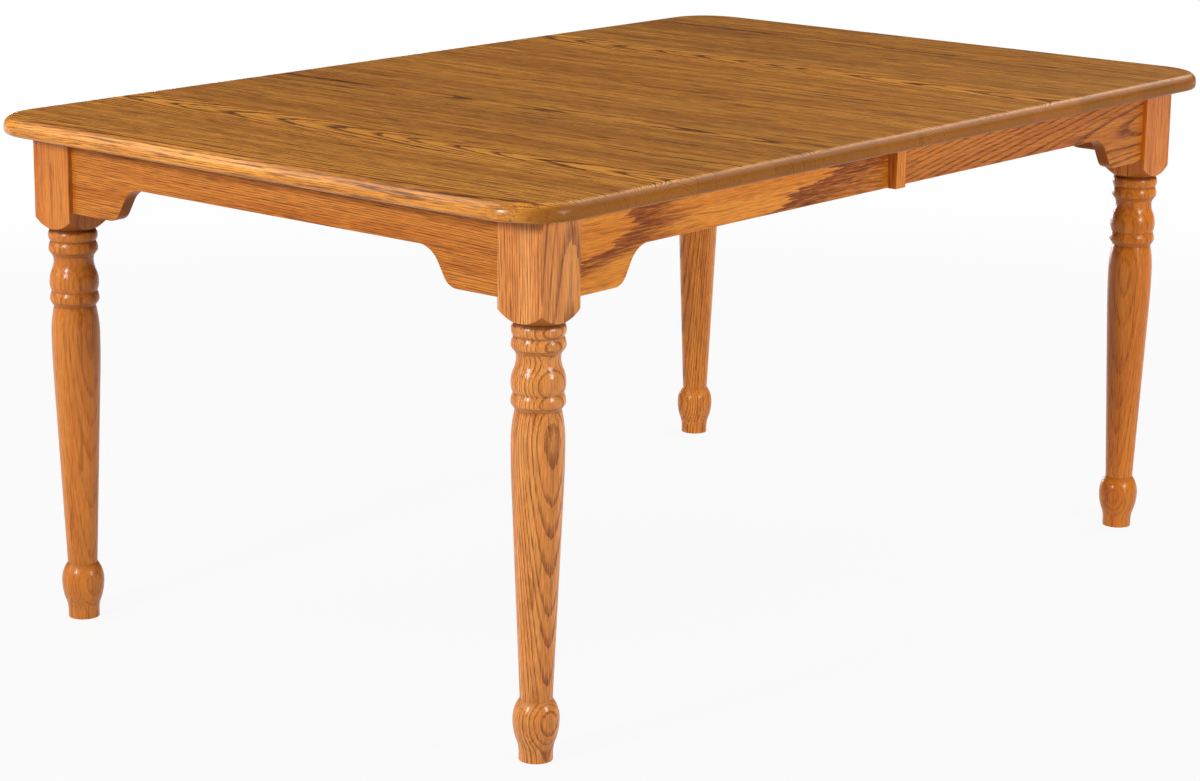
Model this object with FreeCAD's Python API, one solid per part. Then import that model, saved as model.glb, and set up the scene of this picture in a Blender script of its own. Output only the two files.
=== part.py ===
import FreeCAD, Part
import math
import os

# Extension dining table in oak, closed. Millimetres, +Z up, +X along the length of the top.
# The origin is on the floor under the middle of the top, and the front long side faces -Y.
# The two halves are alike: the right half is the left half turned half a turn about Z.

# Top
TOP_LENGTH = 1676.0
TOP_WIDTH = 1067.0
TABLE_HEIGHT = 762.0
TOP_THICKNESS = 25.0
TOP_CORNER_RADIUS = 86.0
TOP_UPPER_ROUND = 14.0
TOP_LOWER_ROUND = 6.0
SEAM_GAP = 0.4

# Leg block, square in plan, and how far the top stands out past it
LEG_BLOCK = 76.0
BLOCK_PAST_BRACKET = 11.0
LEG_BLOCK_EASE = 1.5
END_OVERHANG = 62.0
SIDE_OVERHANG = 43.5
LEG_INNER_FLAT = 20.0
LEG_INNER_FLAT_LENGTH = 97.0

# Leg turning, from the block downwards: depths are taken in from the beads
TURNING_ALLOWANCE = 2.0
SHOULDER_HEIGHT = 19.0
SHOULDER_BULGE = 1.2
SHOULDER_OVERRUN = 3.0
BEAD_HEIGHT = 17.5
GROOVE_DEPTH = 2.8
RING_NOSE = 12.0
RING_TAIL = 5.2
RING_TAIL_DEPTH = 2.4
UNDERCUT_HEIGHT = 4.8
UNDERCUT_DEPTH = 5.8
NECK_UPPER = 7.5
NECK_LOWER = 12.6
NECK_DEPTH = 7.0
VASE_START_DEPTH = 4.4
VASE_UPPER = 19.9
VASE_LOWER = 13.0
TAPER_NECK_DEPTH = 5.4
TAPER_SWELL = 45.0
TAPER_CROWN = 60.0
TAPER_RADIUS = 35.5
ANKLE_RADIUS = 22.0
ANKLE_HEIGHT = 85.0
FOOT_RADIUS = 31.4
FOOT_WIDEST_HEIGHT = 57.0
FOOT_WAIST_DEPTH = 3.8
FOOT_WAIST_HEIGHT = 31.0
TOE_RADIUS = 23.0
TOE_HEIGHT = 10.0

# Aprons with a shaped bracket beside each leg
APRON_THICKNESS = 21.0
APRON_HEIGHT = 63.0
APRON_SETBACK = 7.5
BRACKET_DROP = 51.0
BRACKET_FLAT = 78.0
OGEE_ROUND = 25.0
OGEE_COVE = 40.0
OGEE_SLOPE = 60.0
APRON_EASE = 1.5

# Batten over the apron seam
BATTEN_WIDTH = 24.0
BATTEN_PROUD = 15.0
BATTEN_TOP_GAP = 0.3
BATTEN_EASE = 1.2

# Corner blocks and hanger bolts
CORNER_BLOCK_GAP = 2.5
CORNER_BLOCK_THICKNESS = 30.0
CORNER_BLOCK_HEIGHT = 50.0
BOLT_RADIUS = 4.0
BOLT_IN_LEG = 36.0
BOLT_SPACING = 24.0
BOLT_PAST_NUT = 4.0
BOLT_HOLE_CLEARANCE = 0.5
WASHER_RADIUS = 9.5
WASHER_THICKNESS = 2.0
NUT_ACROSS_FLATS = 13.0
NUT_HEIGHT = 6.5

# Glue blocks along the aprons
GLUE_BLOCK_LENGTH = 60.0
GLUE_BLOCK_SECTION = 18.0
GLUE_BLOCKS_PER_APRON = 2
GLUE_SCREW_OFFSET = 15.0

# Wood screws
SCREW_RADIUS = 2.0
SCREW_HEAD_RADIUS = 4.0
SCREW_CROWN_RADIUS = 2.9
SCREW_HEAD_HEIGHT = 2.8
SCREW_BITE = 14.0
SCREW_RECESS_LENGTH = 3.8
SCREW_RECESS_WIDTH = 0.9
SCREW_RECESS_DEPTH = 1.5
HEAD_ROOM = 0.5
CORNER_SCREW_GRIP = 12.0
SLIDE_SCREW_GRIP = 20.0
SLIDE_SCREWS_PER_RAIL = 4
SLIDE_SCREW_INSET = 50.0
LOCK_SCREW_SPREAD = 11.0

# Geared slides
EXTENSION = 610.0
SLIDE_Y = 240.0
RAIL_THICKNESS = 20.0
RAIL_DROP = 2.0
RAIL_CLEARANCE = 0.4
RAIL_END_GAP = 47.5
RAIL_REACH = 500.0
PAD_SETBACK = 5.0
TONGUE_DEPTH = 7.0
TONGUE_NECK = 9.0
TONGUE_TIP = 15.0
TONGUE_LEVEL = 14.0
TONGUE_BACK = 260.0
STOP_CLEARANCE = 0.5
STOP_WALL = 34.5
GEAR_MODULE = 2.0
PINION_TOOTH_PAIRS = 8
PRESSURE_ANGLE = 25.0
BACKLASH = 0.3
GEAR_FACE = 10.0
GEAR_OVER_TONGUE = 6.5
WINDOW_BRIDGE = 5.5
DEDENDUM_FACTOR = 1.25
RACK_BACK = 4.0
RACK_SUNK = 0.6
RACK_SPARE_TEETH = 4
WINDOW_CLEARANCE = 1.5
PINION_END_PLAY = 0.5
AXLE_RADIUS = 3.0
AXLE_SEAT = 9.0
FLANK_STEPS = 5

# Seam dowels
DOWEL_RADIUS = 5.0
DOWEL_LENGTH = 40.0
DOWEL_SPACING = 130.0
DOWEL_STATIONS = (-3, -1, 2)
SOCKET_CLEARANCE = 0.3
SOCKET_SPARE = 1.5

# Seam locks
LOCK_Y = 70.0
LOCK_SWING = 45.0
PIVOT_BACK = 45.0
KEEPER_REACH = 25.0
LOCK_PLATE = 2.5
LOCK_BASE_LENGTH = 50.0
LOCK_BASE_WIDTH = 40.0
LOCK_BASE_SCREW_X = 16.0
KEEPER_LENGTH = 30.0
KEEPER_WIDTH = 36.0
KEEPER_PIN_RADIUS = 4.0
KEEPER_PIN_CLEARANCE = 0.4
LEVER_GAP = 4.0
LEVER_THICKNESS = 4.0
LEVER_PLAY = 0.3
LEVER_BOSS_RADIUS = 11.0
LEVER_ARM_WIDTH = 14.0
LEVER_ARM_ANGLE = -14.0
HOOK_HALF_WIDTH = 10.0
HOOK_START_ANGLE = -22.0
HOOK_END_ANGLE = 12.0
HOOK_SLOT_ANGLE = -3.0
HANDLE_LENGTH = 30.0
HANDLE_WIDTH = 12.0
RIVET_RADIUS = 4.0
RIVET_COLLAR_RADIUS = 7.0
RIVET_HEAD_HEIGHT = 2.0
PIN_PAST_LEVER = 2.0

# Clearance round a piece that is glued, screwed or pressed in place, and round a running shaft
FIT = 0.05

# How far a cutting shape runs past the face that it opens
OVERCUT = 1.0

# Places worked out from the sizes above
V = FreeCAD.Vector
UP = V(0, 0, 1)
half_length = TOP_LENGTH / 2
half_width = TOP_WIDTH / 2
seam_x = -SEAM_GAP / 2
under = TABLE_HEIGHT - TOP_THICKNESS
half_block = LEG_BLOCK / 2
block_length = APRON_HEIGHT + BRACKET_DROP + BLOCK_PAST_BRACKET
leg_x = half_length - END_OVERHANG - half_block
leg_y = half_width - SIDE_OVERHANG - half_block
block_inner_x = leg_x - half_block
block_inner_y = leg_y - half_block
apron_x = leg_x + half_block - APRON_SETBACK
apron_y = leg_y + half_block - APRON_SETBACK
apron_inner_x = apron_x - APRON_THICKNESS
apron_inner_y = apron_y - APRON_THICKNESS
apron_low = under - APRON_HEIGHT
block_corner = LEG_BLOCK / math.sqrt(2)
leg_axis = V(-leg_x, -leg_y, 0)
inward = V(1, 1, 0).normalize()
corner_block_near = block_corner + CORNER_BLOCK_GAP
corner_block_far = corner_block_near + CORNER_BLOCK_THICKNESS
corner_block_middle = under - CORNER_BLOCK_HEIGHT / 2
leg_flat = block_corner - LEG_INNER_FLAT / 2
pinion_teeth = 2 * PINION_TOOTH_PAIRS
pitch_radius = GEAR_MODULE * pinion_teeth / 2
tooth_pitch = math.pi * GEAR_MODULE
tip_radius = pitch_radius + GEAR_MODULE
root_radius = pitch_radius - DEDENDUM_FACTOR * GEAR_MODULE
half_face = GEAR_FACE / 2
rail_top = under - RAIL_DROP
gear_z = rail_top - WINDOW_BRIDGE - PINION_END_PLAY - half_face
tongue_z = gear_z - half_face - GEAR_OVER_TONGUE - TONGUE_TIP / 2
rail_low = tongue_z - TONGUE_LEVEL
rail_out = apron_inner_x - RAIL_END_GAP
rail_face = -SLIDE_Y - pitch_radius + GEAR_MODULE + RACK_SUNK
centre_rail_half = -SLIDE_Y - rail_face - RAIL_CLEARANCE
rail_middle = rail_face - RAIL_THICKNESS / 2
centre_groove_end = TONGUE_BACK + EXTENSION / 2 + STOP_CLEARANCE
centre_half = centre_groove_end + STOP_WALL
rack_back_y = -SLIDE_Y - pitch_radius - DEDENDUM_FACTOR * GEAR_MODULE - RACK_BACK
rack_first = -RACK_SPARE_TEETH
rack_last = math.ceil(EXTENSION / 2 / tooth_pitch) + RACK_SPARE_TEETH
lock_pivot = V(-PIVOT_BACK, -LOCK_Y, 0)
lever_radius = PIVOT_BACK + KEEPER_REACH
plate_low = under - LOCK_PLATE
lever_top = plate_low - LEVER_GAP
lever_low = lever_top - LEVER_THICKNESS
dowel_z = under + TOP_THICKNESS / 2


def box(x_span, y_span, z_span):
    """A block between two limits on each axis."""
    low = V(x_span[0], y_span[0], z_span[0])
    sides = [span[1] - span[0] for span in (x_span, y_span, z_span)]
    return Part.makeBox(sides[0], sides[1], sides[2], low)


def rod(start, direction, length, radius):
    """A round bar from a point along a direction."""
    return Part.makeCylinder(radius, length, start, direction)


def half_turn(shape):
    """The same shape on the other half of the table."""
    return shape.rotated(V(0, 0, 0), UP, 180)


def face_along(start, steps, lift):
    """A flat face inside an outline. A step is (end,) for a line or (middle, end) for an arc."""
    edges = []
    here = start
    for step in steps:
        end = step[-1]
        if len(step) == 1:
            edges.append(Part.LineSegment(lift(here), lift(end)).toShape())
        else:
            edges.append(Part.Arc(lift(here), lift(step[0]), lift(end)).toShape())
        here = end
    if here != start:
        edges.append(Part.LineSegment(lift(here), lift(start)).toShape())
    return Part.Face(Part.Wire(edges))


def in_xy(z):
    return lambda point: V(point[0], point[1], z)


def in_yz(x):
    return lambda point: V(x, point[0], point[1])


def in_xz(y):
    return lambda point: V(point[0], y, point[1])


def polygon(points, lift):
    """A flat face with straight sides."""
    return face_along(points[0], [(point,) for point in points[1:]], lift)


# Wood screws: each is the seat of its head, its direction and the thickness that it clamps


def screw(seat, direction, grip):
    """A wood screw whose head tapers to its crown, with a cross recess in the crown."""
    origin = V(0, 0, 0)
    shank = rod(origin, UP, grip + SCREW_BITE, SCREW_RADIUS)
    head = Part.makeCone(SCREW_HEAD_RADIUS, SCREW_CROWN_RADIUS, SCREW_HEAD_HEIGHT, origin, UP * -1)
    arm = (-SCREW_RECESS_LENGTH / 2, SCREW_RECESS_LENGTH / 2)
    slot = (-SCREW_RECESS_WIDTH / 2, SCREW_RECESS_WIDTH / 2)
    depth = (-SCREW_HEAD_HEIGHT, SCREW_RECESS_DEPTH - SCREW_HEAD_HEIGHT)
    made = shank.fuse(head).removeSplitter().cut([box(arm, slot, depth), box(slot, arm, depth)])
    made.Placement = FreeCAD.Placement(seat, FreeCAD.Rotation(UP, direction))
    return made


def screw_hole(seat, direction, grip):
    """The hole that a screw's shank sits in, through what it clamps and into what it holds to."""
    length = OVERCUT + grip + SCREW_BITE + FIT
    return rod(seat - direction * OVERCUT, direction, length, SCREW_RADIUS + FIT)


def head_pocket(seat, direction, depth):
    """A round pocket that lets a screw's head down to its seat."""
    return rod(seat, direction * -1, depth, SCREW_HEAD_RADIUS + HEAD_ROOM)


# Turned legs


def arc_middle(still, moving):
    """Middle of the arc between two turning points; at the still one it runs along the axis."""
    out = moving[0] - still[0]
    along = moving[1] - still[1]
    radius = (out ** 2 + along ** 2) / (2 * abs(out))
    half_angle = math.atan2(abs(along), radius - abs(out)) / 2
    across = math.copysign(radius * (1 - math.cos(half_angle)), out)
    return (still[0] + across, still[1] + math.copysign(radius * math.sin(half_angle), along))


def leg_outline():
    """The turning's outline from the floor to the groove under the block's shoulder."""
    bead = half_block - TURNING_ALLOWANCE
    groove_z = under - block_length - SHOULDER_HEIGHT
    groove = (bead - GROOVE_DEPTH, groove_z)
    second_groove = (bead - GROOVE_DEPTH, groove_z - BEAD_HEIGHT)
    ring = (bead, second_groove[1] - RING_NOSE)
    ring_tail = (bead - RING_TAIL_DEPTH, ring[1] - RING_TAIL)
    neck_edge = (bead - UNDERCUT_DEPTH, ring_tail[1] - UNDERCUT_HEIGHT)
    neck = (bead - NECK_DEPTH, neck_edge[1] - NECK_UPPER)
    vase_start = (bead - VASE_START_DEPTH, neck[1] - NECK_LOWER)
    vase = (bead, vase_start[1] - VASE_UPPER)
    third_groove = (bead - GROOVE_DEPTH, vase[1] - VASE_LOWER)
    low_ring = (bead, third_groove[1] - RING_NOSE)
    low_tail = (bead - RING_TAIL_DEPTH, low_ring[1] - RING_TAIL)
    taper_neck = (bead - TAPER_NECK_DEPTH, low_tail[1] - UNDERCUT_HEIGHT)
    swell = (TAPER_RADIUS, taper_neck[1] - TAPER_SWELL)
    crown_z = swell[1] - TAPER_CROWN
    share = TAPER_CROWN / (2 * (crown_z - ANKLE_HEIGHT))
    crown = ((TAPER_RADIUS + share * ANKLE_RADIUS) / (1 + share), crown_z)
    ankle = (ANKLE_RADIUS, ANKLE_HEIGHT)
    foot = (FOOT_RADIUS, FOOT_WIDEST_HEIGHT)
    waist = (FOOT_RADIUS - FOOT_WAIST_DEPTH, FOOT_WAIST_HEIGHT)
    toe = (TOE_RADIUS, TOE_HEIGHT)
    bead_middle = (bead, (groove[1] + second_groove[1]) / 2)
    steps = [
        ((TOE_RADIUS, 0),),
        (toe,),
        (arc_middle(toe, waist), waist),
        (arc_middle(foot, waist), foot),
        (arc_middle(foot, ankle), ankle),
        (crown,),
        (arc_middle(swell, crown), swell),
        (arc_middle(swell, taper_neck), taper_neck),
        (low_tail,),
        (arc_middle(low_ring, low_tail), low_ring),
        (arc_middle(low_ring, third_groove), third_groove),
        (arc_middle(vase, third_groove), vase),
        (arc_middle(vase, vase_start), vase_start),
        (arc_middle(neck, vase_start), neck),
        (arc_middle(neck, neck_edge), neck_edge),
        (ring_tail,),
        (arc_middle(ring, ring_tail), ring),
        (arc_middle(ring, second_groove), second_groove),
        (bead_middle, groove),
        ((0, groove[1]),),
    ]
    return steps, groove


def leg_block(groove):
    """The square block, its lower corners turned to a shoulder that runs in to the groove."""
    prism = box((-half_block, half_block), (-half_block, half_block), (groove[1], under))
    upright = [edge for edge in prism.Edges if abs(edge.tangentAt(0).z) > 0.5]
    prism = prism.makeFillet(LEG_BLOCK_EASE, upright)
    rise = SHOULDER_HEIGHT / (block_corner - groove[0])
    rim = (block_corner + SHOULDER_OVERRUN, groove[1] + SHOULDER_HEIGHT + SHOULDER_OVERRUN * rise)
    middle = ((groove[0] + rim[0]) / 2 + SHOULDER_BULGE, (groove[1] + rim[1]) / 2 - SHOULDER_BULGE)
    steps = [(groove,), (middle, rim), ((rim[0], under),), ((0, under),)]
    turned = face_along((0, groove[1]), steps, in_xz(0)).revolve(V(0, 0, 0), UP, 360)
    return prism.common(turned)


def bolt_heights():
    return [corner_block_middle - BOLT_SPACING / 2, corner_block_middle + BOLT_SPACING / 2]


def leg():
    """One leg about its own axis, with the flat for its bolts on the corner towards +X +Y."""
    steps, groove = leg_outline()
    turned = face_along((0, 0), steps, in_xz(0)).revolve(V(0, 0, 0), UP, 360)
    whole = leg_block(groove).fuse(turned).removeSplitter()
    flat = box((leg_flat, LEG_BLOCK), (-LEG_BLOCK, LEG_BLOCK), (under - LEG_INNER_FLAT_LENGTH, under))
    tools = [flat.rotated(V(0, 0, 0), UP, 45)]
    for height in bolt_heights():
        start = inward * (leg_flat - BOLT_IN_LEG) + UP * height
        tools.append(rod(start, inward, BOLT_IN_LEG + OVERCUT, BOLT_RADIUS + FIT))
    return whole.cut(tools)


def at_rear(shape):
    """A piece of the front left corner turned into the rear left corner, bolts towards the middle."""
    about_leg = shape.translated(leg_axis * -1).rotated(V(0, 0, 0), UP, -90)
    return about_leg.translated(V(-leg_x, leg_y, 0))


# Aprons


def bracket_steps(start, sign):
    """Outline from a bracket's flat to the straight edge: an arc, a slope and a cove."""
    turn = math.radians(OGEE_SLOPE)
    half = turn / 2
    arc_mid = (OGEE_ROUND * math.sin(half), OGEE_ROUND * (1 - math.cos(half)))
    arc_end = (OGEE_ROUND * math.sin(turn), OGEE_ROUND * (1 - math.cos(turn)))
    cove_lift = OGEE_COVE * (1 - math.cos(turn))
    slope_rise = BRACKET_DROP - arc_end[1] - cove_lift
    cove_start = (arc_end[0] + slope_rise / math.tan(turn), arc_end[1] + slope_rise)
    cove_end = (cove_start[0] + OGEE_COVE * math.sin(turn), BRACKET_DROP)
    cove_mid = (cove_end[0] - OGEE_COVE * math.sin(half), cove_end[1] - OGEE_COVE * (1 - math.cos(half)))

    def place(point):
        return (start[0] + sign * point[0], start[1] + point[1])

    return [(place(arc_mid), place(arc_end)), (place(cove_start),), (place(cove_mid), place(cove_end))]


def reversed_steps(start, steps):
    """The same outline walked the other way, as a new start and its steps."""
    points = [start] + [step[-1] for step in steps]
    back = []
    for index in range(len(steps) - 1, -1, -1):
        back.append(steps[index][:-1] + (points[index],))
    return points[-1], back


def eased(apron, span_name):
    """An apron with its lower edges rounded; the named span is the one across its thickness."""
    lower = []
    for edge in apron.Edges:
        limits = edge.BoundBox
        if getattr(limits, span_name) < FIT and limits.ZMax < under - FIT:
            lower.append(edge)
    return apron.makeFillet(APRON_EASE, lower)


def end_apron():
    """The apron across the left end, between the two leg blocks."""
    low = apron_low - BRACKET_DROP
    first = (-block_inner_y + BRACKET_FLAT, low)
    last = (block_inner_y - BRACKET_FLAT, low)
    steps = [(first,)] + bracket_steps(first, 1)
    far_start, far_steps = reversed_steps(last, bracket_steps(last, -1))
    steps += [(far_start,)] + far_steps
    steps += [((block_inner_y, low),), ((block_inner_y, under),), ((-block_inner_y, under),)]
    face = face_along((-block_inner_y, low), steps, in_yz(-apron_x))
    return eased(face.extrude(V(APRON_THICKNESS, 0, 0)), "XLength")


def side_apron():
    """Half of the front apron, from the left leg block to the seam."""
    low = apron_low - BRACKET_DROP
    first = (-block_inner_x + BRACKET_FLAT, low)
    steps = [(first,)] + bracket_steps(first, 1)
    steps += [((seam_x, apron_low),), ((seam_x, under),), ((-block_inner_x, under),)]
    face = face_along((-block_inner_x, low), steps, in_xz(-apron_y))
    return eased(face.extrude(V(0, APRON_THICKNESS, 0)), "YLength")


def mirrored_rear(shape):
    """The rear apron half, which is the front one seen in a mirror."""
    return shape.mirror(V(0, 0, 0), V(0, 1, 0))


def seam_batten():
    """The strip that covers the front apron seam, glued to the right half."""
    half = BATTEN_WIDTH / 2
    outside = -apron_y - BATTEN_PROUD
    strip = box((-half, half), (outside, -apron_y), (apron_low, under - BATTEN_TOP_GAP))
    return strip.makeFillet(BATTEN_EASE, [edge for edge in strip.Edges if edge.BoundBox.YMax < outside + FIT])


# Corner blocks, bolts and glue blocks


def corner_line(offset):
    """Where a line square to the corner's diagonal meets the inner faces of the two aprons."""
    total = offset * math.sqrt(2) - leg_x - leg_y
    return (-apron_inner_x, total + apron_inner_x), (total + apron_inner_y, -apron_inner_y)


def corner_screws():
    """One screw into each apron, square to it, through the ends of the corner block."""
    near = corner_line(corner_block_near)
    far = corner_line(corner_block_far)
    into_end = V(-apron_inner_x + CORNER_SCREW_GRIP, (near[0][1] + far[0][1]) / 2, corner_block_middle)
    into_side = V((near[1][0] + far[1][0]) / 2, -apron_inner_y + CORNER_SCREW_GRIP, corner_block_middle)
    return [(into_end, V(-1, 0, 0), CORNER_SCREW_GRIP), (into_side, V(0, -1, 0), CORNER_SCREW_GRIP)]


def corner_block():
    """The brace across the front left corner, with holes for the leg bolts."""
    near = corner_line(corner_block_near)
    far = corner_line(corner_block_far)
    face = polygon([near[0], near[1], far[1], far[0]], in_xy(under - CORNER_BLOCK_HEIGHT))
    block = face.extrude(V(0, 0, CORNER_BLOCK_HEIGHT))
    tools = []
    for height in bolt_heights():
        start = leg_axis + inward * block_corner + UP * height
        reach = corner_block_far - block_corner + OVERCUT
        tools.append(rod(start, inward, reach, BOLT_RADIUS + BOLT_HOLE_CLEARANCE))
    for seat, direction, grip in corner_screws():
        tools.append(screw_hole(seat, direction, grip))
        tools.append(head_pocket(seat, direction, corner_block_far - corner_block_near + CORNER_SCREW_GRIP))
    return block.cut(tools)


def tube(start, direction, length, outer, inner):
    """A round tube, such as a washer."""
    return rod(start, direction, length, outer).cut(rod(start, direction, length, inner))


def hanger_set():
    """Bolts, washers and nuts of the front left leg, as three lists."""
    bolts, washers, nuts = [], [], []
    for height in bolt_heights():
        centre = leg_axis + UP * height
        washer_start = centre + inward * corner_block_far
        nut_start = washer_start + inward * WASHER_THICKNESS
        bolt_start = centre + inward * (leg_flat - BOLT_IN_LEG)
        bolt_end = corner_block_far + WASHER_THICKNESS + NUT_HEIGHT + BOLT_PAST_NUT
        bolts.append(rod(bolt_start, inward, bolt_end - leg_flat + BOLT_IN_LEG, BOLT_RADIUS))
        washers.append(tube(washer_start, inward, WASHER_THICKNESS, WASHER_RADIUS, BOLT_RADIUS + FIT))
        nuts.append(hex_nut(nut_start))
    return bolts, washers, nuts


def hex_nut(start):
    """A hexagon nut on a leg bolt."""
    across = inward.cross(UP)
    corner = NUT_ACROSS_FLATS / math.sqrt(3)
    points = []
    for side in range(6):
        angle = math.radians(60 * side)
        points.append(start + across * (corner * math.cos(angle)) + UP * (corner * math.sin(angle)))
    prism = Part.Face(Part.makePolygon(points + points[:1])).extrude(inward * NUT_HEIGHT)
    return prism.cut(rod(start, inward, NUT_HEIGHT, BOLT_RADIUS + FIT))


def spread(count, low, high):
    """Even places along a run, each in the middle of its share."""
    return [low + (high - low) * (index + 0.5) / count for index in range(count)]


def glue_blocks():
    """Glue blocks of the left half with their screws: up into the top and out into the apron."""
    section = GLUE_BLOCK_SECTION
    half = GLUE_BLOCK_LENGTH / 2
    low = under - section
    middle_z = under - section / 2
    blocks, top_screws, end_screws, front_screws, rear_screws = [], [], [], [], []
    for y in spread(GLUE_BLOCKS_PER_APRON, -block_inner_y, block_inner_y):
        inner = -apron_inner_x + section
        blocks.append(box((-apron_inner_x, inner), (y - half, y + half), (low, under)))
        top_screws.append((V(inner - section / 2, y - GLUE_SCREW_OFFSET, low), UP, section))
        end_screws.append((V(inner, y + GLUE_SCREW_OFFSET, middle_z), V(-1, 0, 0), section))
    for sign, side_screws in ((-1, front_screws), (1, rear_screws)):
        face = sign * apron_inner_y
        inner = face - sign * section
        for x in spread(GLUE_BLOCKS_PER_APRON, -block_inner_x, 0):
            blocks.append(box((x - half, x + half), sorted((face, inner)), (low, under)))
            top_screws.append((V(x - GLUE_SCREW_OFFSET, (face + inner) / 2, low), UP, section))
            side_screws.append((V(x + GLUE_SCREW_OFFSET, inner, middle_z), V(0, sign, 0), section))
    return blocks, top_screws, end_screws, front_screws, rear_screws


# Geared slides, front set; the left half's rear rail is the same piece moved across


def slide_screws():
    """Screws up through a fixed rail into the left half of the top."""
    first = -rail_out + SLIDE_SCREW_INSET
    last = -PAD_SETBACK - SLIDE_SCREW_INSET
    step = (last - first) / (SLIDE_SCREWS_PER_RAIL - 1)
    places = [first + step * index for index in range(SLIDE_SCREWS_PER_RAIL)]
    return [(V(x, rail_middle, under - SLIDE_SCREW_GRIP), UP, SLIDE_SCREW_GRIP) for x in places]


def tongue_face(x, clearance):
    """Dovetail section of a rail's tongue or, with a clearance, of the groove that it runs in."""
    flare = (TONGUE_TIP - TONGUE_NECK) / 2 / TONGUE_DEPTH
    depth = TONGUE_DEPTH + clearance
    neck = TONGUE_NECK / 2 + clearance
    tip = neck + flare * depth
    points = [(rail_face, tongue_z - neck), (rail_face + depth, tongue_z - tip)]
    points += [(rail_face + depth, tongue_z + tip), (rail_face, tongue_z + neck)]
    return polygon(points, in_yz(x))


def fixed_rail():
    """The rail screwed under the left half; its tongue runs in the centre rail."""
    back = rail_face - RAIL_THICKNESS
    bar = box((-rail_out, RAIL_REACH), (back, rail_face), (rail_low, rail_top))
    pad = box((-rail_out, -PAD_SETBACK), (back, rail_face), (rail_top, under))
    tongue = tongue_face(-TONGUE_BACK, 0).extrude(V(TONGUE_BACK + RAIL_REACH, 0, 0))
    rail = bar.fuse((pad, tongue)).removeSplitter()
    seat_x = (rack_first * tooth_pitch - FIT, rack_last * tooth_pitch + FIT)
    seat_z = (gear_z - half_face - FIT, gear_z + half_face + FIT)
    tools = [box(seat_x, (rack_back_y, rail_face), seat_z)]
    for seat, direction, grip in slide_screws():
        tools.append(screw_hole(seat, direction, grip))
        tools.append(head_pocket(seat, direction, seat.z - rail_low + OVERCUT))
    return rail.cut(tools)


def gear_rack():
    """The toothed strip let into the fixed rail, with a gap between teeth at the pinion's axis."""
    slope = math.tan(math.radians(PRESSURE_ANGLE))
    pitch_y = -SLIDE_Y - pitch_radius
    tip_y = pitch_y + GEAR_MODULE
    root_y = pitch_y - DEDENDUM_FACTOR * GEAR_MODULE
    at_pitch = (tooth_pitch - BACKLASH) / 4
    at_tip = at_pitch - GEAR_MODULE * slope
    at_root = at_pitch + DEDENDUM_FACTOR * GEAR_MODULE * slope
    points = [(rack_first * tooth_pitch, rack_back_y), (rack_first * tooth_pitch, root_y)]
    for tooth in range(rack_first, rack_last):
        middle = (tooth + 0.5) * tooth_pitch
        points += [(middle - at_root, root_y), (middle - at_tip, tip_y)]
        points += [(middle + at_tip, tip_y), (middle + at_root, root_y)]
    points += [(rack_last * tooth_pitch, root_y), (rack_last * tooth_pitch, rack_back_y)]
    return polygon(points, in_xy(gear_z - half_face)).extrude(UP * GEAR_FACE)


def centre_rail():
    """The rail between the fixed ones: a groove in each side, and a window for the pinion."""
    half = centre_rail_half
    bar = box((-centre_half, centre_half), (-SLIDE_Y - half, -SLIDE_Y + half), (rail_low, rail_top))
    groove = tongue_face(-centre_groove_end, RAIL_CLEARANCE).extrude(V(centre_groove_end + centre_half, 0, 0))
    other_groove = groove.rotated(V(0, -SLIDE_Y, 0), UP, 180)
    reach = tip_radius + WINDOW_CLEARANCE
    window_z = (gear_z - half_face - PINION_END_PLAY, gear_z + half_face + PINION_END_PLAY)
    window = box((-reach, reach), (-SLIDE_Y - half, -SLIDE_Y + half), window_z)
    axle_low = window_z[0] - AXLE_SEAT
    axle_hole = rod(V(0, -SLIDE_Y, axle_low), UP, rail_top - axle_low, AXLE_RADIUS + FIT)
    return bar.cut((groove, other_groove, window, axle_hole))


def pinion_axle():
    axle_low = gear_z - half_face - PINION_END_PLAY - AXLE_SEAT
    return rod(V(0, -SLIDE_Y, axle_low), UP, rail_top - axle_low, AXLE_RADIUS)


def involute(angle):
    return math.tan(angle) - angle


def pinion():
    """Spur pinion with involute teeth, one of them pointing at the left half's rack."""
    pressure = math.radians(PRESSURE_ANGLE)
    base_radius = pitch_radius * math.cos(pressure)
    at_pitch = (tooth_pitch - BACKLASH) / 4 / pitch_radius + involute(pressure)
    z = gear_z - half_face

    def at(radius, angle):
        return V(radius * math.cos(angle), -SLIDE_Y + radius * math.sin(angle), z)

    radii = [base_radius + (tip_radius - base_radius) * step / FLANK_STEPS for step in range(FLANK_STEPS + 1)]
    spans = [at_pitch - involute(math.acos(base_radius / radius)) for radius in radii]
    edges = []
    for tooth in range(pinion_teeth):
        middle = 2 * math.pi * tooth / pinion_teeth - math.pi / 2
        after = middle + 2 * math.pi / pinion_teeth
        rising = [at(radius, middle - span) for radius, span in zip(radii, spans)]
        falling = [at(radius, middle + span) for radius, span in zip(radii, spans)][::-1]
        foot_up = at(root_radius, middle - spans[0])
        foot_down = at(root_radius, middle + spans[0])
        next_foot = at(root_radius, after - spans[0])
        gap_middle = at(root_radius, (middle + after) / 2)
        edges.append(Part.LineSegment(foot_up, rising[0]).toShape())
        edges.append(flank_edge(rising))
        edges.append(Part.Arc(rising[-1], at(tip_radius, middle), falling[0]).toShape())
        edges.append(flank_edge(falling))
        edges.append(Part.LineSegment(falling[-1], foot_down).toShape())
        edges.append(Part.Arc(foot_down, gap_middle, next_foot).toShape())
    gear = Part.Face(Part.Wire(edges)).extrude(UP * GEAR_FACE)
    return gear.cut(rod(V(0, -SLIDE_Y, z), UP, GEAR_FACE, AXLE_RADIUS + FIT))


def flank_edge(points):
    """A smooth edge through the points of one tooth flank."""
    curve = Part.BSplineCurve()
    curve.interpolate(points)
    return curve.toShape()


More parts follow.
